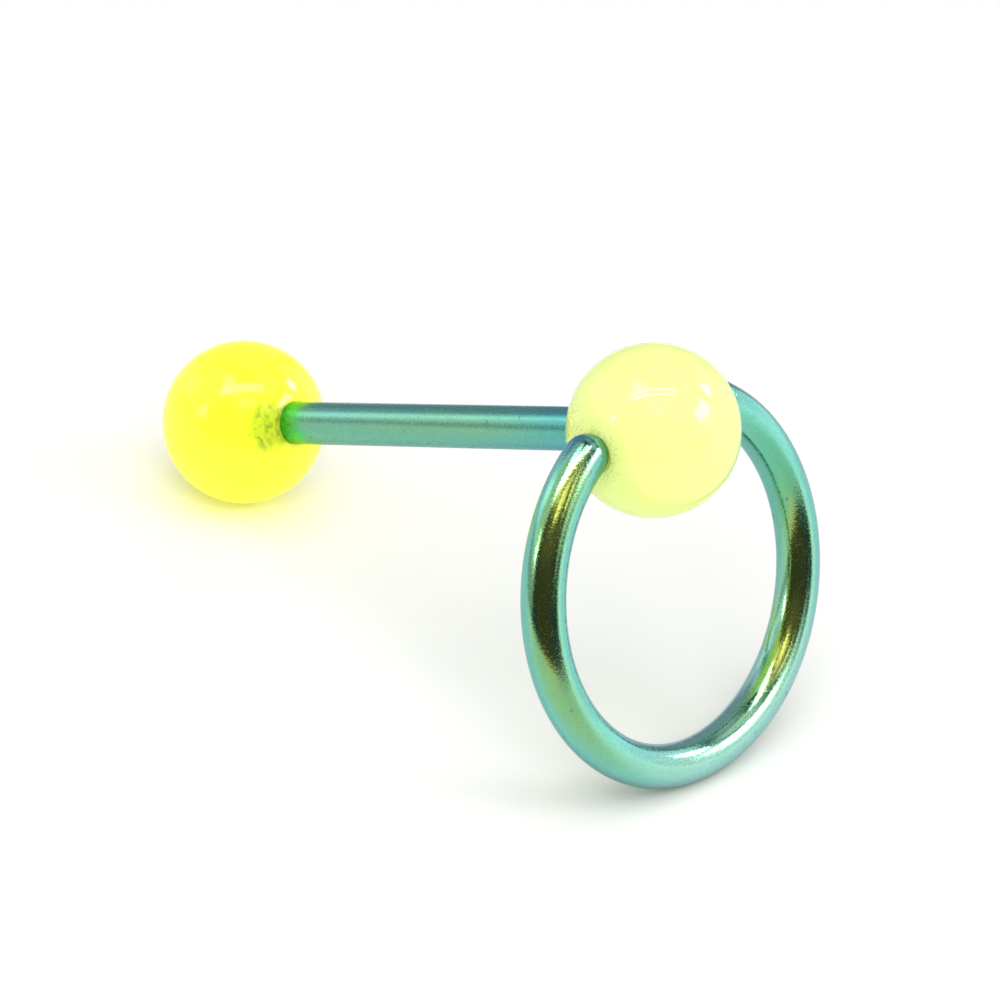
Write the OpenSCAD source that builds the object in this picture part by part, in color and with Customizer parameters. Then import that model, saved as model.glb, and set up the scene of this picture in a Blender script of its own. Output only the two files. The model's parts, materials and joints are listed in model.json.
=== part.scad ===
// Straight tongue barbell with a door knocker ring on its front ball.
// The piece stands like a small trestle: the rear ball and the lowest point of the ring are on the surface.
// Origin: on the surface, under the middle of the piece. +X runs from the rear ball to the front ball, and
// +Y is the ring's hinge axis.

/* [Bar] */
// Diameter of the bar, 14 gauge
bar_d = 1.63; // [1.3:0.01:1.8]
// Length of the bar that shows between the two balls
bar_len = 16; // [12:0.5:20]
// Diameter of the hidden stub at each end of the bar
stub_d = 1.2; // [0.9:0.05:1.2]
// Length of each stub
stub_len = 2.6; // [2:0.1:2.7]

/* [Balls] */
// Diameter of both balls
ball_d = 6.35; // [6:0.05:7]
// Diameter of the small flat round a ball's hole, which the bar's shoulder meets
flat_d = 1.9; // [1.85:0.05:2.2]

/* [Ring] */
// Diameter of the ring's wire, 14 gauge
wire_d = 1.63; // [1.3:0.01:1.8]
// Inside diameter of the ring
ring_id = 11.9; // [11:0.1:13]
// Distance from the front ball's centre to the middle of each rounded end of the wire
tip_reach = 3.65; // [3.45:0.05:3.8]

/* [Stance] */
// Angle between the bar and the ring as the piece stands
ring_angle = 86; // [80:1:95]

/* [Clearances] */
// Gap round a rounded end of the ring in its dimple
dimple_gap = 0.05; // [0.03:0.01:0.08]
// Gap between the bar's shoulder and a ball's flat
shoulder_gap = 0.05; // [0.02:0.01:0.1]
// Gap round the stub in its hole
hole_gap = 0.05; // [0.03:0.01:0.08]
// Room left beyond the end of the stub
hole_end_gap = 0.15; // [0.1:0.05:0.2]

/* [Hidden] */
ball_r = ball_d / 2;
wire_r = wire_d / 2;
bar_r = bar_d / 2;
stub_r = stub_d / 2;
// Small bevels on the bar's shoulders and on the ends of the stubs
shoulder_bevel = 0.08;
stub_bevel = 0.2;
// The wire's ends are ground to half balls that are a hair thinner than the wire
tip_r = wire_r - 0.02;
// A cut that opens on a surface starts this far outside it
over = 0.5;

// Distance from a ball's centre to its flat, and from one ball's centre to the other's
flat_h = sqrt(pow(ball_r, 2) - pow(flat_d / 2, 2));
ball_span = bar_len + 2 * (shoulder_gap + flat_h);
// Depth of the hole, measured from the flat
hole_depth = stub_len - shoulder_gap + hole_end_gap;

// Radius of the wire's centre line, and half of the angle that the ring leaves open at the ball
ring_r = ring_id / 2 + wire_r;
half_gap = asin(tip_reach / ring_r);
// Distance from the hinge axis to the ring's centre, and to the centre line at the far side of the ring
ring_offset = ring_r * cos(half_gap);
ring_reach = ring_offset + ring_r;

// The bar's slope at which the rear ball and the ring both touch the surface:
// ball_r + ball_span * sin(lean) = wire_r + ring_reach * sin(apex - lean)
apex = 180 - ring_angle;
run = ball_span + ring_reach * cos(apex);
rise = ring_reach * sin(apex);
lean = atan2(rise, run) - asin((ball_r - wire_r) / norm([run, rise]));
// Angle by which the ring's plane drops below the horizontal
drop = apex - lean;

// The front ball's centre, with the piece's whole length centred on the origin
front_z = ball_r + ball_span * sin(lean);
piece_len = ball_r + ball_span * cos(lean) + ring_reach * cos(drop) + wire_r;
front_x = ball_r + ball_span * cos(lean) - piece_len / 2;

metal = "#5fa8a0";
front_yellow = "#f2f596";
rear_yellow = "#f6f23c";

$fn = 64;

// Axes of the bar: the front ball's centre is the origin, and +Z points at the rear ball
module on_bar() {
    translate([front_x, 0, front_z]) rotate([0, -90 - lean, 0]) children();
}

// Axes of the ring: the front ball's centre is the origin, Y is the hinge axis, and +X points at the far side
module on_ring() {
    translate([front_x, 0, front_z]) rotate([0, drop, 0]) children();
}

// A ball with the flat and the blind hole for the bar on its +Z side
module drilled_ball() {
    difference() {
        sphere(r = ball_r);
        translate([0, 0, flat_h]) cylinder(r = flat_d, h = over);
        translate([0, 0, flat_h - hole_depth]) cylinder(r = stub_r + hole_gap, h = hole_depth + over);
    }
}

// Turned bar with its two stubs, drawn as half of its outline
module bar() {
    shoulder = flat_h + shoulder_gap;
    far_shoulder = shoulder + bar_len;
    color(metal) on_bar() rotate_extrude() polygon([
        [0, shoulder - stub_len],
        [stub_r - stub_bevel, shoulder - stub_len],
        [stub_r, shoulder - stub_len + stub_bevel],
        [stub_r, shoulder],
        [bar_r - shoulder_bevel, shoulder],
        [bar_r, shoulder + shoulder_bevel],
        [bar_r, far_shoulder - shoulder_bevel],
        [bar_r - shoulder_bevel, far_shoulder],
        [stub_r, far_shoulder],
        [stub_r, far_shoulder + stub_len - stub_bevel],
        [stub_r - stub_bevel, far_shoulder + stub_len],
        [0, far_shoulder + stub_len]
    ]);
}

// Front ball: the two dimples on the hinge axis share their centres with the ring's rounded ends
module front_ball() {
    color(front_yellow) difference() {
        on_bar() drilled_ball();
        on_ring() for (side = [-1, 1]) {
            translate([0, side * tip_reach, 0]) sphere(r = wire_r + dimple_gap);
        }
    }
}

// Rear ball: faces the front ball
module rear_ball() {
    color(rear_yellow) on_bar() translate([0, 0, ball_span]) rotate([180, 0, 0]) drilled_ball();
}

// Captive ring: the arc of wire, and the ball that rounds off each end of it, with its poles on the hinge axis
module ring() {
    color(metal) on_ring() {
        translate([ring_offset, 0, 0]) rotate([0, 0, half_gap - 180])
            rotate_extrude(angle = 360 - 2 * half_gap) translate([ring_r, 0]) circle(r = wire_r);
        for (side = [-1, 1]) {
            translate([0, side * tip_reach, 0]) rotate([90, 0, 0]) sphere(r = tip_r);
        }
    }
}

bar();
front_ball();
rear_ball();
ring();
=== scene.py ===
# %% [markdown]
# # A door knocker tongue barbell
#
# The object is a small piece of body jewellery. A straight bar goes through the tongue, and a yellow acrylic
# ball screws onto each end of it. A ring of the same wire grips the front ball between its two rounded
# ends, so it swings like the ring of a door knocker.
#
# A finished CAD model of the piece comes first. It is a fixed frame: every new piece is drawn over one of
# its nodes, in metres, and takes its sizes from it. So the lesson starts by loading it and keeping its
# outer box.

# %% Load the frame
import json
from math import asin, cos, degrees, pi, radians, sin, sqrt

import bpy
from mathutils import Matrix, Quaternion, Vector


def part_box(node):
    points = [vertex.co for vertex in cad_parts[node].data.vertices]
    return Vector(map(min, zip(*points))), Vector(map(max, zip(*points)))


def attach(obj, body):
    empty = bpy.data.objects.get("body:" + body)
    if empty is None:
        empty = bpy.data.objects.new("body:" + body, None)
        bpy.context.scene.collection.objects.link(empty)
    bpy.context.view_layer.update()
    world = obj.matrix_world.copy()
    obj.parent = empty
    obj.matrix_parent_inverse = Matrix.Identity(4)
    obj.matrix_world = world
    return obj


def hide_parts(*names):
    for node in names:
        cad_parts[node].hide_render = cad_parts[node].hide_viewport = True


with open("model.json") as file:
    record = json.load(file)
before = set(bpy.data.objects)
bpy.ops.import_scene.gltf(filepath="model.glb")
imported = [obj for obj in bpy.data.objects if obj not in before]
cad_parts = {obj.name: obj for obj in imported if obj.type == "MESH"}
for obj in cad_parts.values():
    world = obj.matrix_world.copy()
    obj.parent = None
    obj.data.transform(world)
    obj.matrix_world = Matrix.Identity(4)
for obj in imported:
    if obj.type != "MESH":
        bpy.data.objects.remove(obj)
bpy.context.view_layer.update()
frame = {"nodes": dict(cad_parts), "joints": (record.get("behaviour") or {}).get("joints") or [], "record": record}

# %% [markdown]
# ## Read the sizes
#
# The frame says where everything is. The hinge passes through the middle of the front ball, one mount lies
# on the bar's axis halfway along it, and another lies in the wire at the far side of the ring. All other
# places follow from these three points, so nothing here has to be measured twice.

# %% Sizes from the frame
MM = 0.001
mounts = {mount["name"]: mount for mount in frame["record"]["mounts"]}
bar_mount = mounts["piercing_seat"]
crown_mount = mounts["ring_crown"]

front_centre = Vector(frame["joints"][0]["pos_m"])
bar_middle = Vector(bar_mount["pos_m"])
rear_centre = 2 * bar_middle - front_centre
crown = Vector(crown_mount["pos_m"])

bar_r = bar_mount["dims"]["r_mm"] * MM
bar_len = bar_mount["dims"]["length_mm"] * MM
wire_r = crown_mount["dims"]["r_mm"] * MM

ball_corners = frame["nodes"]["rear_ball"].data.vertices
ball_r = max((corner.co - rear_centre).length for corner in ball_corners)
low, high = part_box("ring")
ring_r = (high.y - low.y) / 2 - wire_r
print("ball radius", round(ball_r / MM, 3), "ring radius", round(ring_r / MM, 3), "mm")

# %% [markdown]
# Each piece is easiest to draw in its own plain axes, with the bar upright or the ring flat on the table.
# Matrices then carry the finished shapes to their places. The bar's Z axis points from the front ball to the
# rear ball, the rear ball's points back at the bar, and the ring's X axis points at its far side.

# %% Axes of the bar and of the ring
Y_AXIS = Vector((0, 1, 0))


def axes(origin, x_axis, z_axis):
    """The matrix that carries a shape from the plain axes to these."""
    turn = Matrix((x_axis, z_axis.cross(x_axis), z_axis)).transposed()
    return Matrix.Translation(origin) @ turn.to_4x4()


along_bar = (rear_centre - front_centre).normalized()
down_ring = (crown - front_centre).normalized()

rear_axes = axes(rear_centre, Y_AXIS.cross(-along_bar), -along_bar)
middle_axes = axes(bar_middle, Y_AXIS.cross(along_bar), along_bar)
ring_axes = axes(front_centre, down_ring, down_ring.cross(Y_AXIS))
print("bar leans", round(degrees(asin(-along_bar.z)), 2), "degrees")
print("ring drops", round(degrees(asin(-down_ring.z)), 2), "degrees")

# %% [markdown]
# ## The camera
#
# The picture was taken with a long lens, from the side of the front ball and looking down at about thirty
# degrees, with the camera rolled a little. The camera is placed by the point that it looks at, its
# direction seen from there, its distance and its roll. A long lens far away keeps the two balls nearly
# equal in size. Directions are given as on a map, here and for the lights: the azimuth is 0 along the Y
# axis, which is called north, and 90 along the X axis, east.

# %% Camera
AIM = Vector((2.3535, 0.0, 6.2693)) * MM
CAMERA_AZIMUTH = 139.92
CAMERA_ELEVATION = 29.60
CAMERA_ROLL = 8.22
CAMERA_DISTANCE = 200.71 * MM
LENS_MM = 194.17
SENSOR_MM = 36
NEAREST_SEEN = 0.005
FARTHEST_SEEN = 20


def towards(azimuth, elevation):
    """The unit vector that points this way, both angles in degrees."""
    level = cos(radians(elevation))
    return Vector((sin(radians(azimuth)) * level, cos(radians(azimuth)) * level, sin(radians(elevation))))


back = towards(CAMERA_AZIMUTH, CAMERA_ELEVATION)
lens = bpy.data.cameras.new("camera")
lens.lens = LENS_MM
lens.sensor_width = SENSOR_MM
lens.clip_start = NEAREST_SEEN
lens.clip_end = FARTHEST_SEEN
camera = bpy.data.objects.new("camera", lens)
bpy.context.scene.collection.objects.link(camera)
level_view = back.to_track_quat("Z", "Y")
camera.rotation_mode = "QUATERNION"
camera.rotation_quaternion = level_view @ Quaternion((0, 0, 1), radians(CAMERA_ROLL))
camera.location = AIM + back * CAMERA_DISTANCE
bpy.context.scene.camera = camera
print("camera at", [round(v / MM, 2) for v in camera.location], "mm")

# %% [markdown]
# ## Small tools for modelling
#
# Everything is modelled with the same few moves that a hand would make in edit mode. The first tool selects
# corners, edges or faces by their place or their direction, and nothing else. The second cuts a shape along
# a plane and closes the cut, which leaves a round cap to work on. A face counts as square on to an axis
# where nearly all of its normal lies along it, and as level with a cut where it is less than a hair away.

# %% Select and cut
SQUARE_ON = 0.9
HAIR = 0.001 * MM
CUT_TOLERANCE = 0.0001 * MM


def deselect():
    """Goes back to object mode with nothing selected."""
    if bpy.context.object and bpy.context.object.mode != "OBJECT":
        bpy.ops.object.mode_set(mode="OBJECT")
    bpy.ops.object.select_all(action="DESELECT")


def make_active(piece):
    """Selects one piece alone."""
    deselect()
    bpy.context.view_layer.objects.active = piece
    piece.select_set(True)


def pick(piece, kind, wanted):
    """Goes into edit mode with only the wanted corners, edges or faces selected."""
    make_active(piece)
    bpy.ops.object.mode_set(mode="EDIT")
    bpy.ops.mesh.select_mode(type=kind)
    bpy.ops.mesh.select_all(action="DESELECT")
    bpy.ops.object.mode_set(mode="OBJECT")
    items = {"VERT": piece.data.vertices, "EDGE": piece.data.edges, "FACE": piece.data.polygons}[kind]
    for item in items:
        item.select = bool(wanted(item))
    bpy.ops.object.mode_set(mode="EDIT")


def cut_off(point, away):
    """Cuts what is selected along a plane, drops the side that away points to and closes the cut."""
    bpy.ops.mesh.bisect(
        plane_co=point, plane_no=away, use_fill=True, clear_outer=True, threshold=CUT_TOLERANCE
    )


print("a face within", round(HAIR / MM, 4), "mm of a cut belongs to its cap")

# %% [markdown]
# The third tool takes the selected end cap of a round shape and pushes it through a list of stations, each
# a radius and a distance along the axis. That one move turns shoulders, stubs, holes, dimples and rounded
# tips, which are all turned shapes. An edge is rounded over by stations that lie on a quarter circle.

# %% Push a cap from station to station
def push_cap(centre, axis, radius, stations):
    """Extrudes the selected cap from station to station. A last radius of zero closes it in a point."""
    place = centre.copy()
    for new_radius, step in stations:
        bpy.ops.mesh.extrude_region_move(TRANSFORM_OT_translate={"value": axis * step})
        place += axis * step
        if new_radius == 0:
            bpy.ops.mesh.merge(type="CENTER")
            break
        size = new_radius / radius
        bpy.ops.transform.resize(value=(size, size, size), center_override=place)
        radius = new_radius


def round_over(radius_from, radius, steps):
    """Stations along a quarter circle that takes the cap from radius_from in to radius_from - radius."""
    stations = []
    for k in range(1, steps + 1):
        last = radians(90 * (k - 1) / steps)
        turn = radians(90 * k / steps)
        stations.append((radius_from - radius * (1 - cos(turn)), radius * (sin(turn) - sin(last))))
    return stations


print("a quarter round in 3 steps:", [(round(r, 2), round(d, 2)) for r, d in round_over(1.0, 1.0, 3)])

# %% [markdown]
# The last tool finishes a shape. The piece is moved to its place and the move is applied to its mesh, so
# that its object stays at the origin as the frame asks. Then doubled corners are merged, the faces are
# turned outwards, and all faces that meet at a small angle are shaded as one smooth surface.

# %% Finish a shape
MERGE_WITHIN = 0.0005 * MM
SMOOTH_BELOW = 35


def apply_place():
    bpy.ops.object.transform_apply(location=True, rotation=True, scale=True)


def finish_shape(piece, place):
    """Puts a piece where it belongs, leaves its object at the origin and smooths its curved faces."""
    make_active(piece)
    apply_place()
    piece.matrix_world = place
    apply_place()
    bpy.ops.object.mode_set(mode="EDIT")
    bpy.ops.mesh.select_all(action="SELECT")
    bpy.ops.mesh.remove_doubles(threshold=MERGE_WITHIN)
    bpy.ops.mesh.normals_make_consistent(inside=False)
    bpy.ops.object.mode_set(mode="OBJECT")
    bpy.ops.object.shade_smooth_by_angle(angle=radians(SMOOTH_BELOW))
    print(piece.name, len(piece.data.vertices), "corners,", len(piece.data.polygons), "faces")


print("faces that meet at less than", SMOOTH_BELOW, "degrees are smoothed")

# %% [markdown]
# ## The bar
#
# The bar is turned from 1.63 mm wire. Its shoulders are softened by a tiny round, and a screw stub sticks
# out of each end and is hidden in its ball. At the rear ball the shoulder sinks a little into the plastic.
# A profile could be spun into the same shape, but a cylinder is the wire as it is bought, and its two end
# caps can be worked as on a lathe: rounded over, drawn in to the core of the screw and pushed out to the
# stub's length, which ends in a small chamfer.

# %% Bar with its two stubs
ROUND_SIDES = 96
SHOULDER_ROUND = 0.08 * MM
SHOULDER_STEPS = 5
SEAT_DEPTH = 0.22 * MM
SCREW_LEN = 2.6 * MM
CORE_R = 0.46 * MM
CREST_R = 0.6 * MM
STUB_END_R = 0.32 * MM
STUB_CHAMFER = 0.12 * MM

deselect()
straight = bar_len - 2 * SHOULDER_ROUND
bpy.ops.mesh.primitive_cylinder_add(vertices=ROUND_SIDES, radius=bar_r, depth=straight, location=(0, 0, 0))
bar = bpy.context.object
bar.name = "bar_with_screws"
for side, sunk in ((1, SEAT_DEPTH), (-1, 0)):
    pick(bar, "FACE", lambda face: face.normal.z * side > SQUARE_ON)
    stations = [(bar_r, sunk)] + round_over(bar_r, SHOULDER_ROUND, SHOULDER_STEPS)
    stations += [(CREST_R, 0), (CORE_R, 0), (CORE_R, SCREW_LEN - sunk - STUB_CHAMFER)]
    stations += [(STUB_END_R, STUB_CHAMFER)]
    push_cap(Vector((0, 0, side * straight / 2)), Vector((0, 0, side)), bar_r, stations)
deselect()
print("bar is", round((bar_len + 2 * SCREW_LEN) / MM, 2), "mm over its stubs")

# %% [markdown]
# The screw thread is a ridge that winds round the core. Rings side by side would look much the same, but they
# wouldn't screw into anything, so this one is a true thread. It is one small four-sided profile
# carried round by the Screw modifier, which climbs by one pitch on each turn. The profile starts as a plane
# that stands on edge beside the core, rooted a little way in it, with its outer side drawn together to the
# width of a thread's crest. The ridge's two open ends are closed when it is wound.

# %% One thread
PITCH = 0.25 * MM
THREAD_TURNS = 8
TURN_STEPS = 40
THREAD_START = 0.34 * MM
THREAD_FOOT = 0.2 * MM
THREAD_ROOT = 0.02 * MM
CREST_SHARE = 0.2


def thread(side):
    """The ridge of one stub, on the rear side (1) or the front side (-1)."""
    deselect()
    middle = (CORE_R + CREST_R - THREAD_ROOT) / 2
    start = side * (bar_len / 2 + THREAD_START)
    bpy.ops.mesh.primitive_plane_add(size=1, location=(middle, 0, start), rotation=(pi / 2, 0, 0))
    ridge = bpy.context.object
    ridge.scale = (CREST_R - CORE_R + THREAD_ROOT, THREAD_FOOT, 1)
    apply_place()
    pick(ridge, "VERT", lambda corner: corner.co.x > middle)
    bpy.ops.transform.resize(value=(1, 1, CREST_SHARE), center_override=(CREST_R, 0, start))
    pick(ridge, "FACE", lambda face: True)
    bpy.ops.mesh.delete(type="ONLY_FACE")
    deselect()
    ridge.select_set(True)
    wind = ridge.modifiers.new("wind", "SCREW")
    wind.axis = "Z"
    wind.angle = 2 * pi
    wind.screw_offset = side * PITCH
    wind.iterations = THREAD_TURNS
    wind.steps = TURN_STEPS
    wind.render_steps = TURN_STEPS
    wind.use_merge_vertices = False
    bpy.ops.object.modifier_apply(modifier="wind")
    pick(ridge, "EDGE", lambda edge: False)
    bpy.ops.mesh.select_non_manifold()
    bpy.ops.mesh.edge_face_add()
    bpy.ops.mesh.select_all(action="SELECT")
    bpy.ops.mesh.normals_make_consistent(inside=False)
    deselect()
    return ridge


print("each thread climbs", round(THREAD_TURNS * PITCH / MM, 2), "mm")

# %% [markdown]
# Both threads are joined to the bar, so that bar, stubs and threads are one piece of metal.

# %% Threads on the bar
ridges = [thread(1), thread(-1)]
make_active(bar)
for ridge in ridges:
    ridge.select_set(True)
bpy.ops.object.join()
finish_shape(bar, middle_axes)

# %% [markdown]
# ## The rear ball
#
# The ball is cast acrylic. A flat is turned on the side that meets the bar, with a shallow seat for the
# bar's shoulder, and a blind hole takes the screw. A Boolean could cut them, but on a sphere whose poles lie
# on the bar's axis one cap gives them all with clean edges. The sphere is cut off level with the flat, and
# the cap that closes the cut is drawn in and pushed down, first as the seat and then as the hole, which ends
# in a blunt point as a drill leaves it.

# %% Rear ball
BALL_SEGMENTS = 128
BALL_RINGS = 64
FLAT_R = 0.95 * MM
SEAT_R = bar_r + 0.04 * MM
SEAT_SLOPE = 0.02 * MM
HOLE_R = 0.65 * MM
HOLE_DEPTH = 2.7 * MM
HOLE_NARROWING = 0.12 * MM
HOLE_CHAMFER = 0.06 * MM
DRILL_POINT = 0.1 * MM
flat_h = sqrt(ball_r ** 2 - FLAT_R ** 2)

deselect()
bpy.ops.mesh.primitive_uv_sphere_add(
    segments=BALL_SEGMENTS, ring_count=BALL_RINGS, radius=ball_r, location=(0, 0, 0)
)
rear_ball = bpy.context.object
rear_ball.name = "rear_ball_acrylic"
pick(rear_ball, "FACE", lambda face: True)
cut_off(Vector((0, 0, flat_h)), Vector((0, 0, 1)))
pick(rear_ball, "FACE", lambda face: face.center.z > flat_h - HAIR)
stations = [(SEAT_R, 0), (SEAT_R, -SEAT_DEPTH), (HOLE_R, -SEAT_SLOPE)]
stations += [(HOLE_R, SEAT_DEPTH + SEAT_SLOPE + HOLE_CHAMFER - HOLE_DEPTH)]
stations += [(HOLE_R - HOLE_NARROWING, -HOLE_CHAMFER), (0, -DRILL_POINT)]
push_cap(Vector((0, 0, flat_h)), Vector((0, 0, 1)), FLAT_R, stations)
finish_shape(rear_ball, rear_axes)

# %% [markdown]
# ## The front ball
#
# The front ball has the same flat and hole, and two shallow round dimples on the hinge axis, in which the
# ring's ends turn. The dimples are what the eye sees, so here the poles lie on the hinge axis and each
# dimple is pushed in from its own cap, along part of a circle whose middle lies outside the ball.

# %% Front ball with its dimples
DIMPLE_R = 0.90 * MM
DIMPLE_MIDDLE = 3.60 * MM
DIMPLE_STEPS = 10
dimple_rim_h = (ball_r ** 2 - DIMPLE_R ** 2 + DIMPLE_MIDDLE ** 2) / (2 * DIMPLE_MIDDLE)
dimple_rim_r = sqrt(ball_r ** 2 - dimple_rim_h ** 2)
dimple_angle = degrees(asin(dimple_rim_r / DIMPLE_R))

dimple_stations = []
depth_before = DIMPLE_R * cos(radians(dimple_angle))
for k in range(1, DIMPLE_STEPS + 1):
    turn = radians(dimple_angle * (1 - k / DIMPLE_STEPS))
    depth = DIMPLE_R * cos(turn)
    dimple_stations.append((DIMPLE_R * sin(turn), depth_before - depth))
    depth_before = depth
dimple_stations[-1] = (0, dimple_stations[-1][1])

deselect()
bpy.ops.mesh.primitive_uv_sphere_add(
    segments=BALL_SEGMENTS, ring_count=BALL_RINGS, radius=ball_r, location=(0, 0, 0), rotation=(pi / 2, 0, 0)
)
front_ball = bpy.context.object
front_ball.name = "front_ball_acrylic"
apply_place()
for side in (1, -1):
    pick(front_ball, "FACE", lambda face: True)
    plane = Vector((0, side * dimple_rim_h, 0))
    cut_off(plane, Vector((0, side, 0)))
    pick(front_ball, "FACE", lambda face: face.center.y * side > dimple_rim_h - HAIR)
    push_cap(plane, Vector((0, side, 0)), dimple_rim_r, dimple_stations)
deselect()
print("dimple rim radius", round(dimple_rim_r / MM, 3), "mm")

# %% [markdown]
# The hole for the bar crosses this sphere's faces at an angle, and for that a Boolean with a turned cutter
# gives the cleanest edge. The cutter is a disc that takes off the flat, and its lower cap is pushed down to
# the shape of the hole, with a small countersink at its mouth.

# %% Bar hole of the front ball
CUTTER_R = 1.6 * MM
CUTTER_THICK = 0.8 * MM
COUNTERSINK = 0.06 * MM

deselect()
above_flat = (0, 0, flat_h + CUTTER_THICK / 2)
bpy.ops.mesh.primitive_cylinder_add(
    vertices=ROUND_SIDES, radius=CUTTER_R, depth=CUTTER_THICK, location=above_flat
)
cutter = bpy.context.object
apply_place()
pick(cutter, "FACE", lambda face: face.normal.z < -SQUARE_ON)
stations = [(HOLE_R + COUNTERSINK, 0), (HOLE_R, COUNTERSINK)]
stations += [(HOLE_R, HOLE_DEPTH - COUNTERSINK - HOLE_CHAMFER), (HOLE_R - HOLE_NARROWING, HOLE_CHAMFER)]
push_cap(Vector((0, 0, flat_h)), Vector((0, 0, -1)), CUTTER_R, stations)
deselect()
cutter.matrix_world = axes(Vector((0, 0, 0)), Y_AXIS.cross(along_bar), along_bar)
make_active(front_ball)
hole = front_ball.modifiers.new("hole", "BOOLEAN")
hole.operation = "DIFFERENCE"
hole.solver = "EXACT"
hole.object = cutter
bpy.ops.object.modifier_apply(modifier="hole")
bpy.data.objects.remove(cutter)
finish_shape(front_ball, Matrix.Translation(front_centre))

# %% [markdown]
# ## The ring
#
# The ring is bent from the same wire into most of a circle. Its mouth opens where the circle crosses the
# hinge axis, apart from a small overrun, and the front ball sits in it. A curve with a round bevel would give
# the wire, but not the caps that its ends are made from. So a filled circle is the wire's cross section, and
# the Spin operator sweeps it round the ring's centre and leaves a cap at each end. Without a window Spin
# turns the other way round, so its axis points down.

# %% Ring
WIRE_SIDES = 64
SPIN_STEPS = 264
END_OVERRUN = 0.10 * MM

ring_offset = (crown - front_centre).length - ring_r
ring_centre = Vector((ring_offset, 0, 0))
mouth = asin(sqrt(ring_r ** 2 - ring_offset ** 2) / ring_r) - END_OVERRUN / ring_r
start_angle = pi + mouth
sweep = 2 * pi - 2 * mouth


def on_ring(angle):
    """The point of the wire's centre line at an angle round the ring, and the line's direction there."""
    out = Vector((cos(angle), sin(angle), 0))
    return ring_centre + out * ring_r, Vector((-sin(angle), cos(angle), 0))


start, direction = on_ring(start_angle)
deselect()
bpy.ops.mesh.primitive_circle_add(vertices=WIRE_SIDES, radius=wire_r, fill_type="NGON", location=start)
ring = bpy.context.object
ring.name = "captive_ring"
ring.rotation_mode = "QUATERNION"
ring.rotation_quaternion = direction.to_track_quat("Z", "Y")
apply_place()
pick(ring, "FACE", lambda face: True)
bpy.ops.mesh.spin(steps=SPIN_STEPS, angle=sweep, center=ring_centre, axis=(0, 0, -1))
deselect()
print("ring has", len(ring.data.polygons), "faces after the spin")

# %% [markdown]
# Each end of the wire is ground to a round tip that turns in its dimple. The two caps that the spin left
# are the only faces with more than four corners, and each is pushed out along the wire: first over the
# narrow edge that the grinding leaves, and then round half a ball.

# %% Ring tips
TIP_R = 0.805 * MM
TIP_EDGE = 0.012 * MM
TIP_STEPS = 14

tip_stations = [(TIP_R, TIP_EDGE)] + round_over(TIP_R, TIP_R, TIP_STEPS)
tip_stations[-1] = (0, tip_stations[-1][1])
for angle, way in ((start_angle, -1), (start_angle + sweep, 1)):
    end, direction = on_ring(angle)
    pick(ring, "FACE", lambda face: len(face.vertices) > 4 and (face.center - end).length < wire_r / 2)
    push_cap(end, direction * way, wire_r, tip_stations)
finish_shape(ring, ring_axes)

# %% [markdown]
# ## Writing a finish as sums
#
# A material is a net of nodes. A long net is easier to read as sums, so one small class holds a socket and
# answers to plus, minus and times. Each sum adds its Math node.

# %% Sums of sockets
class Value:
    """One socket that gives out a number, a colour or a direction."""

    def __init__(self, finish, socket):
        self.finish = finish
        self.socket = socket

    def maths(self, operation, *others):
        """Adds a Math node that works on this value and the others."""
        return self.finish.node("Math", {"operation": operation}, dict(enumerate((self, *others))))

    def __add__(self, other):
        return self.maths("ADD", other)

    def __sub__(self, other):
        return self.maths("SUBTRACT", other)

    def __rsub__(self, other):
        return self.finish.node("Math", {"operation": "SUBTRACT"}, {0: other, 1: self})

    def __mul__(self, other):
        return self.maths("MULTIPLY", other)

    def __abs__(self):
        return self.maths("ABSOLUTE")

    __radd__ = __add__
    __rmul__ = __mul__


print("sums that add nodes: plus, minus, times and abs")

# %% [markdown]
# A second class holds the material or the world. Every node comes from its one method, which takes the
# node's type, its settings, and the values or links of its sockets. Soft steps, blends of two colours, noise
# and distances are wanted again and again, so they have short names of their own.

# %% Nodes of a finish
class Finish:
    """A material or a world, and the net of nodes in it."""

    def __init__(self, data):
        data.use_nodes = True
        self.data = data
        self.tree = data.node_tree
        self.tree.nodes.clear()

    def node(self, kind, settings=None, inputs=None, out=0):
        """Adds a node, its settings first because they shape its sockets, and gives one of its outputs."""
        node = self.tree.nodes.new("ShaderNode" + kind)
        for name, value in (settings or {}).items():
            setattr(node, name, value)
        for name, value in (inputs or {}).items():
            socket = node.inputs[name]
            if isinstance(value, Value):
                self.tree.links.new(value.socket, socket)
            elif socket.type == "RGBA":
                socket.default_value = (*value, 1)
            else:
                socket.default_value = value
        return Value(self, node.outputs[out]) if node.outputs else None

    def step(self, value, low, high):
        """A soft step from 0 at low to 1 at high. It runs the other way where low is above high."""
        if low > high:
            return 1 - self.step(value, high, low)
        spread = {"Value": value, "From Min": low, "From Max": high}
        return self.node("MapRange", {"interpolation_type": "SMOOTHSTEP"}, spread)

    def blend(self, factor, first, second):
        """A colour between the first, where the factor is 0, and the second, where it is 1."""
        return self.node("Mix", {"data_type": "RGBA"}, {0: factor, 6: first, 7: second}, out=2)

    def noise(self, place, grains, detail, rough=0.5):
        """Cloudy noise from 0 to 1, with about so many grains to the metre."""
        inputs = {"Vector": place, "Scale": grains, "Detail": detail, "Roughness": rough}
        return self.node("TexNoise", {}, inputs)

    def distance(self, place, point):
        """How far the place is from a point, in metres."""
        return self.node("VectorMath", {"operation": "DISTANCE"}, {0: place, 1: point}, out=1)

    def own_place(self):
        """The place on the piece itself. It stays with the piece when that moves."""
        return self.node("TexCoord", out=3)


print("short names: step, blend, noise, distance and own_place")

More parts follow.
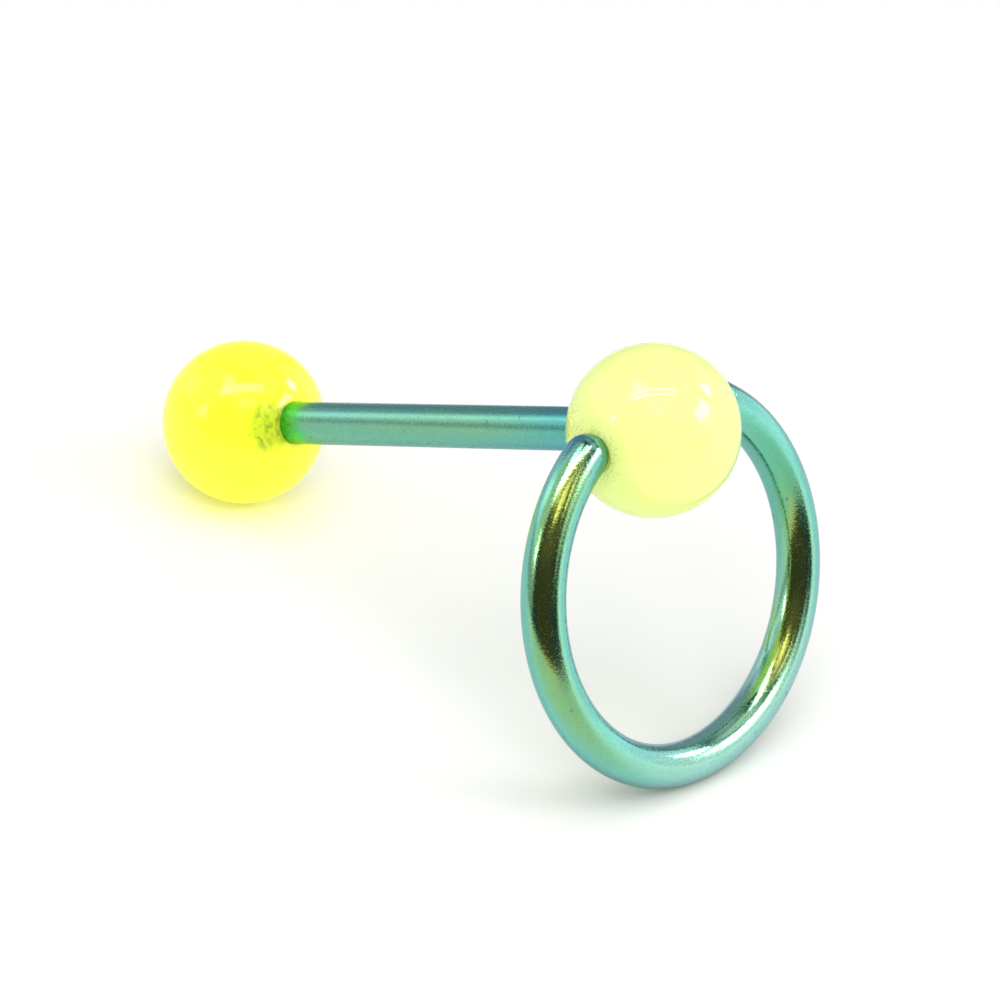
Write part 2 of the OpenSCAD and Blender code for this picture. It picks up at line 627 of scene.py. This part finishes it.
# %% [markdown]
# ## The anodised metal
#
# Anodising grows a clear oxide film on the metal, and the film's colour depends on how steeply it is looked
# at. Seen straight on this one is green gold, a little aslant it is green, and further round it is aqua. One
# metal of a single colour would look painted, so three polished metals are mixed by how far the surface turns
# away from the eye. A baked texture is taken exactly square on, where the gold is left out again, so a baked
# copy comes out green.
#
# The polish isn't perfect. Fine grit sparkles in the dark reflections, its dips are dull, and there is a nick
# here and there. Each of these is a noise between two levels, and they are given below with their shares.

# %% Anodised metal
GOLD = (0.50, 0.57, 0.11)
GREEN = (0.25, 0.54, 0.23)
SLATE_EDGE = (0.78, 0.80, 0.90)
DULL = (0.14, 0.22, 0.19)
FILM_CLOUDS = 900.0
GRIT = 14000.0
CHIPS = 3600.0
CLOUDY = (0.40, 0.75)
SPARKLES = (0.56, 0.70)
DIPS = (0.52, 0.36)
NICKS = (0.81, 0.85)
CLOUD_ROUGH = 0.04
SPARKLE_ROUGH = 0.15
DIP_DULL = 0.22
NICK_DULL = 0.6
CLOUD_GREEN = 0.35
GRIT_BUMP = 0.4
GRIT_HEIGHT = 0.01 * MM
PATCH_WAVER = 1.2 * MM
PATCH_CORE = 0.4
AQUA_COMES = (0.10, 0.46)
GOLD_GOES = (0.12, 0.03)
NOT_HEAD_ON = (0.0, 0.0004)


def anodised(name, gloss, aqua, patches):
    """Each patch is a colour, its share of the slanting and the facing colour, a middle and a reach."""
    metal = Finish(bpy.data.materials.new(name))
    place = metal.own_place()
    cloud = metal.noise(place, FILM_CLOUDS, 3.0, 0.6)
    grit = metal.noise(place, GRIT, 1.0, 0.6)
    nicks = metal.step(metal.noise(place, CHIPS, 0.0), *NICKS)
    rough = gloss + CLOUD_ROUGH * metal.step(cloud, *CLOUDY) + SPARKLE_ROUGH * metal.step(grit, *SPARKLES)
    relief = metal.node("Bump", {}, {"Strength": GRIT_BUMP, "Distance": GRIT_HEIGHT, "Height": grit})
    polish = {"Metallic": 1.0, "Roughness": rough, "Normal": relief, "Specular Tint": SLATE_EDGE}

    slanting = metal.blend(CLOUD_GREEN * cloud, aqua, GREEN)
    facing = GREEN
    # Most patches are tints of the film; two rows below are painted reflections instead.
    for colour, slanting_share, facing_share, middle, reach in patches:
        from_middle = metal.distance(place, middle) + PATCH_WAVER * (cloud - 0.5)
        here = metal.step(from_middle, reach, PATCH_CORE * reach)
        slanting = metal.blend(slanting_share * here, slanting, colour)
        facing = metal.blend(facing_share * here, facing, colour)
    dulled = NICK_DULL * nicks + DIP_DULL * metal.step(grit, *DIPS)
    slanting = metal.blend(dulled, slanting, DULL)
    facing = metal.blend(dulled, facing, DULL)

    gold_metal, green_metal, aqua_metal = (
        metal.node("BsdfPrincipled", {}, {"Base Color": colour, **polish})
        for colour in (GOLD, facing, slanting)
    )
    away = metal.node("LayerWeight", {}, {"Blend": 0.5}, out=1)
    to_aqua = metal.step(away, *AQUA_COMES)
    in_gold = metal.step(away, *NOT_HEAD_ON) * metal.step(away, *GOLD_GOES)
    cool = metal.node("MixShader", {}, {0: to_aqua, 1: green_metal, 2: aqua_metal})
    shine = metal.node("MixShader", {}, {0: in_gold, 1: cool, 2: gold_metal})
    metal.node("OutputMaterial", {}, {"Surface": shine})
    print(name, len(metal.tree.nodes), "nodes")
    return metal.data


# %% [markdown]
# The metal's colour isn't the same all over. On the bar the film is bluer towards the front ball, and where
# the bar meets the rear ball a deep green patch is a painted reflection of the yellow ball. On the ring the
# film is blue at the near tip and teal near the far tip, and a paler patch round the far side is a painted
# lighter reflection. Each of these is a patch round a point, and its edge wanders with the clouds of the film.

# %% Tints and painted reflections of the bar and of the ring
AQUA = (0.18, 0.56, 0.52)
BAR_AQUA = (0.15, 0.46, 0.42)
BLUE = (0.08, 0.29, 0.50)
BAR_BLUE = (0.08, 0.42, 0.52)
# The next two colours are painted reflections: a paler one round the ring's far side and the yellow ball's in the
# bar.
PAINTED_LIGHTER_REFLECTION = (0.34, 0.58, 0.55)
PAINTED_BALL_REFLECTION = (0.01, 0.60, 0.05)
TEAL = (0.11, 0.53, 0.33)
TIP_FROM_BALL = 0.3 * MM
FAR_SIDE_ANGLE = 0.35

near_tip = ring_axes @ Vector((0, -(ball_r + TIP_FROM_BALL), 0))
far_tip = ring_axes @ Vector((0, ball_r + TIP_FROM_BALL, 0))
far_side = ring_axes @ on_ring(FAR_SIDE_ANGLE)[0]
front_hole = front_centre + along_bar * ball_r
rear_hole = rear_centre - along_bar * ball_r
bar_patches = (
    (TEAL, 0.0, 0.8, front_centre, 8.5 * MM),
    # Painted reflection of the yellow rear ball in the end of the bar.
    (PAINTED_BALL_REFLECTION, 0.65, 0.3, rear_hole, 1.7 * MM),
    (BAR_BLUE, 0.6, 0.3, front_centre, 8.6 * MM),
)
ring_patches = (
    (TEAL, 0.0, 0.8, far_tip, 7.0 * MM),
    # Painted lighter reflection round the far side of the ring.
    (PAINTED_LIGHTER_REFLECTION, 0.65, 0.3, far_side, 8.0 * MM),
    (BLUE, 0.6, 0.3, near_tip, 1.6 * MM),
)
bar_metal = anodised("anodised_bar", 0.20, BAR_AQUA, bar_patches)
ring_metal = anodised("anodised_ring", 0.12, AQUA, ring_patches)

# %% [markdown]
# ## The yellow acrylic
#
# The balls are tinted acrylic that lets light in and scatters it, so they seem lit from inside. One cloudy,
# glossy body with light passing under its surface gives that glow, and a little light of its own stands for
# what comes through from behind. Clear glass would be nearer to the recipe of real acrylic, but it needs far
# more light paths and can't be baked. Near the steel the acrylic is darkened: fine dark specks from a noise,
# and painted shade round the steel that lies in the plastic and against it. On the rear ball that painted
# shade is an even share with short strokes that turn round the screw.

# %% Acrylic
SPECKS = 12500.0
STROKE_GRAINS = 3200.0
ACRYLIC_CLOUDS = 700.0
DOTTED = (0.50, 0.60)
STROKE_PATCHES = (0.30, 0.60)
STROKED = (-0.9, 0.9)
STROKE_APART = 0.40 * MM
STROKE_BEND = 9.0
EVEN_SHADE_SHARE = 0.60
STROKE_SHARE = 0.35
HAZE_SHADE_SHARE = 0.07
SPOT_WAVER = 0.9 * MM
SPOT_CORE = 0.3
CLOUD_BUMP = 0.02
CLOUD_HEIGHT = 0.01 * MM
CLOUD_DULL = 0.01
ACRYLIC_IOR = 1.49
SCATTERED = 0.8
SCATTER_COLOURS = (1.0, 1.0, 0.35)
SCATTER_REACH = 2 * MM
SPECK_AND_SHADE_GLOW = (0.10, 0.17, 0.02)


def acrylic(name, gloss, body, speck_and_shade_colour, glow, strength, spots):
    """A spot of specks and painted shade: its middle, its reach, how dark it is, and the point its strokes turn
    round.
    """
    ball = Finish(bpy.data.materials.new(name))
    place = ball.own_place()
    cloud = ball.noise(place, ACRYLIC_CLOUDS, 2.0)
    stroke_noise = ball.noise(place, STROKE_GRAINS, 1.0)
    dots = ball.step(ball.noise(place, SPECKS, 1.0), *DOTTED)
    specks_and_shade = None
    # Each spot darkens the acrylic with fine dark specks and with painted shade round the steel.
    for middle, reach, depth, turning in spots:
        from_middle = ball.distance(place, middle) + SPOT_WAVER * (cloud - 0.5)
        near = ball.step(from_middle, reach, SPOT_CORE * reach)
        if turning:
            from_axis = ball.distance(place, turning)
            wave = (from_axis * (2 * pi / STROKE_APART) + STROKE_BEND * stroke_noise).maths("SINE")
            strokes = ball.step(wave, *STROKED) * ball.step(stroke_noise, *STROKE_PATCHES)
            dot_share = 1 - EVEN_SHADE_SHARE - STROKE_SHARE
            layer = depth * near * (EVEN_SHADE_SHARE + STROKE_SHARE * strokes + dot_share * dots)
        else:
            layer = depth * near * (HAZE_SHADE_SHARE + (1 - HAZE_SHADE_SHARE) * dots)
        specks_and_shade = layer if specks_and_shade is None else specks_and_shade.maths("MAXIMUM", layer)
    relief = ball.node("Bump", {}, {"Strength": CLOUD_BUMP, "Distance": CLOUD_HEIGHT, "Height": cloud})
    inside = {
        # The specks and painted shade darken both the colour and the glow.
        "Base Color": ball.blend(specks_and_shade, body, speck_and_shade_colour),
        "Roughness": gloss + CLOUD_DULL * cloud,
        "Normal": relief,
        "IOR": ACRYLIC_IOR,
        "Subsurface Weight": SCATTERED,
        "Subsurface Radius": SCATTER_COLOURS,
        "Subsurface Scale": SCATTER_REACH,
        "Emission Color": ball.blend(specks_and_shade, glow, SPECK_AND_SHADE_GLOW),
        "Emission Strength": strength,
    }
    ball.node("OutputMaterial", {}, {"Surface": ball.node("BsdfPrincipled", {}, inside)})
    print(name, len(ball.tree.nodes), "nodes")
    return ball.data


# %% [markdown]
# On the front ball the specks and painted shade lie round the bar, between the bar and the near end of the
# ring, and round both ends of the ring. On the rear ball they lie beside the bar, on the near side of it. The
# front ball is paler and glossier than the rear one.

# %% Places of specks and painted shade, and the two colours
PALE_YELLOW = (0.80, 0.92, 0.30)
YELLOW = (0.97, 0.96, 0.035)
OLIVE = (0.40, 0.50, 0.08)
DARK_OLIVE = (0.25, 0.42, 0.02)
GREENISH_GLOW = (0.75, 1.0, 0.20)
YELLOW_GLOW = (1.0, 0.97, 0.02)

tip_and_bar = (along_bar - Y_AXIS).normalized()
beside_bar = (rear_hole - rear_centre + Vector((0, -1.4, 0.3)) * MM).normalized()
# Spots of fine dark specks and painted shade round the steel.
front_spots = [(front_hole, 3.6 * MM, 0.5, None), (front_centre + tip_and_bar * ball_r, 2.9 * MM, 0.8, None)]
front_spots += [(front_centre + Y_AXIS * side * ball_r, 1.8 * MM, 0.38, None) for side in (1, -1)]
rear_spots = [(rear_centre + beside_bar * ball_r, 1.55 * MM, 1.0, rear_hole)]
front_acrylic = acrylic("pale_acrylic", 0.01, PALE_YELLOW, OLIVE, GREENISH_GLOW, 0.06, front_spots)
rear_acrylic = acrylic("yellow_acrylic", 0.11, YELLOW, DARK_OLIVE, YELLOW_GLOW, 0.25, rear_spots)

# %% [markdown]
# ## Finishes and frame
#
# Each piece now gets its finish. The bar and both balls are one body, and the ring swings on them.

# %% Put the finishes on
for piece, finish, slot, body, node in (
    (bar, bar_metal, "anodised_metal", "barbell", "bar"),
    (front_ball, front_acrylic, "pale_acrylic", "barbell", "front_ball"),
    (rear_ball, rear_acrylic, "yellow_acrylic", "barbell", "rear_ball"),
    (ring, ring_metal, "anodised_metal", "ring", "ring"),
):
    piece.data.materials.clear()
    piece.data.materials.append(finish)
    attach(piece, body)
    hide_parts(node)
    print(piece.name, "stands for", node, "and moves with", body)

# %% [markdown]
# ## The studio
#
# The piece stands on a plain white table top that is lit until it is nearly burnt out. It has a slight
# sheen, so it looks brighter towards the windows. Polished metal shows what lies in front of it, and a
# white table without an end would leave it flat. So in mirror images alone the table carries painted shade:
# it is a little greyer close by, turns grey a little way in front, and ends soon after. Seen by the camera
# itself, it is plain and white all over.

# %% Table
HALF_TABLE = 0.40
WHITE_DIM = (0.90, 0.90, 0.885)
WHITE_BRIGHT = (0.92, 0.92, 0.905)
SHADE_GREY = (0.42, 0.43, 0.42)
TABLE_CLOUDS = 40.0
TABLE_ROUGH = 0.42
GREY_CLOSE_BY = 0.22
GREY_STARTS = 0.034
GREY_FULL = 0.040
MIRROR_END = 0.045
END_SOFT = 0.0002
FRONT_AZIMUTH = 160

deselect()
bpy.ops.mesh.primitive_plane_add(size=2 * HALF_TABLE)
table = bpy.context.object
table.name = "table"
table.matrix_world = Matrix.Rotation(radians(180 - FRONT_AZIMUTH), 4, "Z")
apply_place()
top = Finish(bpy.data.materials.new("white_table"))
spot = top.own_place()
white = top.blend(top.noise(spot, TABLE_CLOUDS, 2.0), WHITE_DIM, WHITE_BRIGHT)
front_way = towards(FRONT_AZIMUTH, 0)
in_front = top.node("VectorMath", {"operation": "DOT_PRODUCT"}, {0: spot, 1: front_way}, out=1)
in_mirror = top.node("LightPath", out=3)
# Painted shade: in mirror images alone the table is a little grey close by and grey further in front.
painted_shade = in_mirror * (GREY_CLOSE_BY + (1 - GREY_CLOSE_BY) * top.step(in_front, GREY_STARTS, GREY_FULL))
surface = {"Base Color": top.blend(painted_shade, white, SHADE_GREY), "Roughness": TABLE_ROUGH, "Specular IOR Level": 0.5}
sheet = top.node("BsdfPrincipled", {}, surface)
ended = in_mirror * top.step(in_front, MIRROR_END, MIRROR_END + END_SOFT)
seen = top.node("MixShader", {}, {0: ended, 1: sheet, 2: top.node("BsdfTransparent")})
top.node("OutputMaterial", {}, {"Surface": seen})
table.data.materials.append(top.data)
print("table", 2 * HALF_TABLE, "m wide, and its mirror image ends", MIRROR_END, "m in front")

# %% [markdown]
# Polished metal shows the room more than itself, so two kinds of light are used. A wide soft panel above, a
# smaller one in front and the light of a window fall on the table and the acrylic, and the metal doesn't
# mirror them. The room that the metal does mirror is drawn with care. Its lamps come first: two strip
# lights overhead, with the pale case that holds them.

# %% Panels of light
def panel(name, centre, along, length, width, radiance, gloss=True, diffuse=True):
    """A lit rectangle that faces the object. It lights mirrors, matt surfaces or both, and isn't seen."""
    light = bpy.data.lights.new(name, "AREA")
    light.shape = "RECTANGLE"
    light.size = length
    light.size_y = width
    light.energy = radiance * pi * length * width
    lamp = bpy.data.objects.new(name, light)
    bpy.context.scene.collection.objects.link(lamp)
    z_axis = centre.normalized()
    x_axis = (along - z_axis * along.dot(z_axis)).normalized()
    lamp.matrix_world = axes(centre, x_axis, z_axis)
    lamp.visible_glossy = gloss
    lamp.visible_diffuse = diffuse
    lamp.visible_camera = False
    print(name, "gives", round(light.energy, 3), "W")


TUBE_LEN = 0.37
TUBE_WIDTH = 0.015
TUBE_BRIGHT = 8.0
TUBES_APART = 0.044
CASE_WIDTH = 0.08
CASE_ABOVE = 0.004
CASE_BRIGHT = 2.0
TUBE_TURN = radians(52)
tube_way = Vector((cos(TUBE_TURN), sin(TUBE_TURN), 0))
to_next_tube = Vector((sin(TUBE_TURN), -cos(TUBE_TURN), 0)) * TUBES_APART
first_tube = Vector((-0.013, -0.073, 0.35))
for name, centre in (("tube_a", first_tube), ("tube_b", first_tube + to_next_tube)):
    panel(name, centre, tube_way, TUBE_LEN, TUBE_WIDTH, TUBE_BRIGHT, diffuse=False)
tube_case = first_tube + to_next_tube / 2 + Vector((0, 0, CASE_ABOVE))
panel("tube_case", tube_case, tube_way, TUBE_LEN, CASE_WIDTH, CASE_BRIGHT, diffuse=False)

# %% [markdown]
# The three soft lights stand half a metre away. The one above gives most of the light, the one in front
# lifts the side that the camera sees, and the light of the large window lays a soft shade on the table. Each
# row gives a light's azimuth and elevation in degrees, the way that its length runs, its length and width in
# metres, and how bright it is.

# %% Soft lights
X_AXIS = Vector((1, 0, 0))
Z_AXIS = Vector((0, 0, 1))
LARGE_WINDOW = (53, 35)
SOFT_AWAY = 0.5
SOFT_LIGHTS = (
    ("softbox", (CAMERA_AZIMUTH, 77), X_AXIS, 0.6, 0.6, 1.70),
    ("front_fill", (CAMERA_AZIMUTH, 30), X_AXIS, 0.4, 0.4, 2.4),
    ("window_light", LARGE_WINDOW, Z_AXIS, 0.16, 0.24, 3.0),
)
for name, way, along, length, width, radiance in SOFT_LIGHTS:
    panel(name, towards(*way) * SOFT_AWAY, along, length, width, radiance, gloss=False)

# %% [markdown]
# The rest of the room is painted on the world as soft patches of light: bright windows, pale walls, a ceiling
# with lamps, and the dark side where the camera stands. Each patch is placed by its azimuth and elevation in
# degrees, with half of its width and height, how soft its edge is and how bright it is.

# %% What the room looks like
ROOM = (
    ("south west wall", -130, 32, 27, 22, 8, 0.85),
    ("south west wall, low", -122, 4, 45, 14, 6, 0.50),
    ("west lamp", -107, 14, 9, 9, 5, 0.45),
    ("north west wall", -62, 30, 38, 36, 9, 0.38),
    ("north wall", 24, 18, 36, 24, 6, 1.15),
    ("north horizon", 30, 2, 36, 4, 3, 0.35),
    ("north ceiling", 40, 63, 14, 13, 6, 0.95),
    ("north west ceiling", -20, 65, 14, 13, 6, 0.40),
    ("east ceiling", 96, 68, 8, 9, 5, 0.40),
    ("small window", 17, 35, 5, 5.5, 2.0, 12.0),
    ("large window", *LARGE_WINDOW, 12, 8, 3.5, 9.0),
    ("glow round it", 63, 30, 16, 13, 6, 1.2),
    ("south west window", -155.5, 20.5, 4, 6.5, 1.5, 5.0),
    ("spot on the south west wall", -116, 26, 5, 5, 3, 1.2),
    ("ceiling lamp", -132, 66, 9, 8, 3, 3.8),
    ("south ceiling", -172, 62, 12, 8, 4, 1.1),
    ("ceiling behind the camera", 133, 58, 10, 9, 3, 1.3),
    ("lamp there", 144, 55, 5, 6, 2, 1.2),
    ("east strip", 94, 48, 3.5, 9, 2, 1.8),
    ("wall by the camera", 137, 40, 34, 11, 6, 0.06),
)
brightest = max(ROOM, key=lambda patch: patch[-1])
print(len(ROOM), "patches of light, the brightest is the", brightest[0])

# %% [markdown]
# The world's nodes turn the direction of a ray into azimuth and elevation and add up the patches. Only
# mirror images show this room. The camera itself sees plain white, and matt surfaces get an even grey.

# %% Room
DARK_ROOM = (0.046, 0.060, 0.095)
EVEN_GREY = (0.45, 0.45, 0.45)
CLEAR_WHITE = (1, 1, 1)
IN_DEGREES = 180 / pi

room = Finish(bpy.data.worlds.new("room"))
bpy.context.scene.world = room.data
look = room.node("TexCoord", out=0)
x, y, z = (room.node("SeparateXYZ", {}, {0: look}, out=k) for k in range(3))
azimuth = x.maths("ARCTAN2", y) * IN_DEGREES
elevation = z.maths("ARCSINE") * IN_DEGREES
patches = 0.0
for _, middle, height, half_width, half_height, soft, radiance in ROOM:
    across = abs((azimuth - middle).maths("WRAP", 180.0, -180.0)) * cos(radians(height))
    up = abs(elevation - height)
    within = room.step(across, half_width + soft, half_width - soft)
    within = within * room.step(up, half_height + soft, half_height - soft)
    patches = within * radiance + patches
mirrored = room.node("VectorMath", {"operation": "ADD"}, {0: DARK_ROOM, 1: patches})
plain, painted, clear = (
    room.node("Background", {}, {"Color": colour}) for colour in (EVEN_GREY, mirrored, CLEAR_WHITE)
)
is_camera, is_gloss = (room.node("LightPath", out=k) for k in (0, 3))
around = room.node("MixShader", {}, {0: is_gloss, 1: plain, 2: painted})
room.node("OutputWorld", {}, {"Surface": room.node("MixShader", {}, {0: is_camera, 1: around, 2: clear})})
bpy.context.scene.view_settings.view_transform = "Standard"
print("room", len(room.tree.nodes), "nodes")
